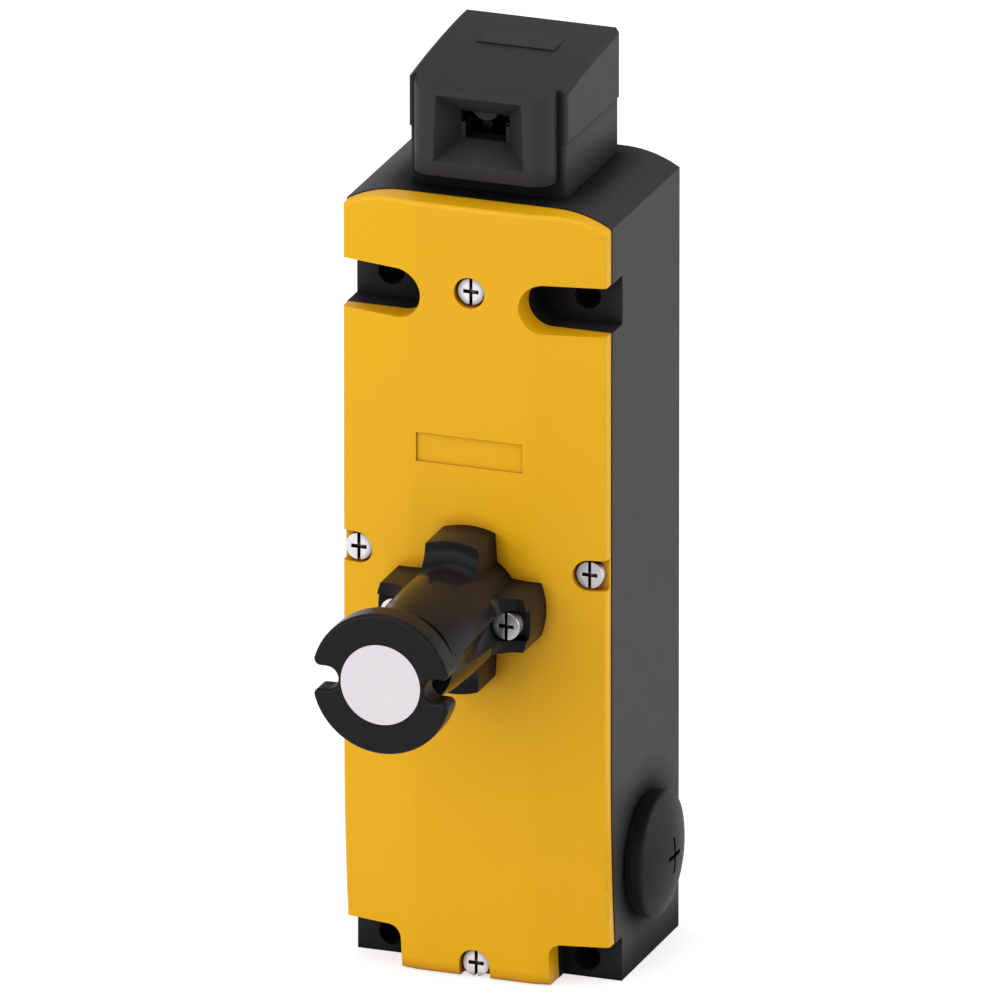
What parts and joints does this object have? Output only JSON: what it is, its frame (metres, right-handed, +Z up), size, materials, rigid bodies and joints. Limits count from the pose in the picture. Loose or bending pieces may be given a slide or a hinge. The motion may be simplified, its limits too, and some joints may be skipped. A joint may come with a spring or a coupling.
{
  "type": "tongue interlock switch",
  "caption": "Tongue-operated safety interlock switch with guard locking and a push-type escape release on its front cover.",
  "frame": {"origin": "centre of the four mounting holes, on the wall face at the back of the body", "axes": "+Z up towards the tongue head, +Y back into the mounting wall, +X to the right seen from the front"},
  "size_m": [0.0662, 0.0932, 0.1833],
  "materials": {
    "grey_housing": "fine spark-eroded texture",
    "yellow_cover": "satin moulded",
    "seal_rubber": "matt",
    "screw_steel": "bright zinc",
    "plug_plastic": "satin moulded",
    "turned_steel": "turned",
    "cam_metal": "dark passivated die-cast",
    "inner_plastic": "moulded",
    "copper_wire": "enamelled",
    "contact_brass": "stamped",
    "black_release": "gloss",
    "white_inlay": "smooth"
  },
  "bodies": {
    "switch": {"housing_body": "grey_housing", "cover": "yellow_cover", "cover_gasket": "seal_rubber", "cover_screws": "screw_steel", "right_plug": "plug_plastic", "left_plug": "plug_plastic", "plug_seals": "seal_rubber", "head_base": "grey_housing", "head_cap": "grey_housing", "head_seal": "seal_rubber", "head_screws": "screw_steel", "cam_axle": "turned_steel", "solenoid_yoke": "turned_steel", "solenoid_bobbin": "inner_plastic", "solenoid_winding": "copper_wire", "solenoid_core": "turned_steel", "lock_spring": "turned_steel", "left_contact_block": "inner_plastic", "right_contact_block": "inner_plastic", "left_terminal_screws": "screw_steel", "right_terminal_screws": "screw_steel", "left_terminal_clamps": "screw_steel", "right_terminal_clamps": "screw_steel", "left_fixed_contacts": "contact_brass", "right_fixed_contacts": "contact_brass", "release_base": "black_release", "release_seal": "seal_rubber", "plunger_seal": "seal_rubber", "release_screws": "screw_steel", "return_spring": "turned_steel"},
    "cam": {"left_lock_disc": "cam_metal", "right_lock_disc": "cam_metal", "door_cam": "cam_metal", "cam_hub": "cam_metal"},
    "pawl": {"lock_pawl": "cam_metal"},
    "door_slider": {"door_slide": "inner_plastic", "door_contact_bridge": "contact_brass"},
    "release": {"release_button": "black_release", "button_inlay": "white_inlay", "release_plunger": "turned_steel", "release_fork": "inner_plastic"},
    "rod": {"lock_rod": "turned_steel", "cross_pin": "turned_steel", "lock_slide": "inner_plastic", "lock_contact_bridge": "contact_brass", "solenoid_armature": "turned_steel"}
  },
  "joints": [
    {"name": "cam_turn", "type": "hinge", "parent": "switch", "child": "cam", "pos_m": [0, -0.0185, 0.098], "axis": [-1, 0, 0], "range_deg": [0, 61]},
    {"name": "pawl_lift", "type": "slide", "parent": "switch", "child": "pawl", "axis": [0, 0, 1], "range_m": [0, 0.004]},
    {"name": "door_slide_travel", "type": "slide", "parent": "switch", "child": "door_slider", "axis": [0, 0, -1], "range_m": [0, 0.0031], "stiffness_N_per_m": 100, "springref_m": -0.001},
    {"name": "release_push", "type": "slide", "parent": "switch", "child": "release", "axis": [0, 1, 0], "range_m": [0, 0.007], "stiffness_N_per_m": 400, "springref_m": -0.002, "deforming": ["return_spring"]},
    {"name": "lock_rod_travel", "type": "slide", "parent": "switch", "child": "rod", "axis": [0, 0, -1], "range_m": [0, 0.0041], "stiffness_N_per_m": 200, "springref_m": -0.002, "deforming": ["lock_spring"]}
  ],
  "couplings": [
    {"joint": "cam_turn", "follows": "pawl_lift", "rad_per_m": 261.8},
    {"joint": "door_slide_travel", "follows": "pawl_lift", "ratio": 0.75},
    {"joint": "lock_rod_travel", "follows": "release_push", "ratio": 0.57143}
  ]
}
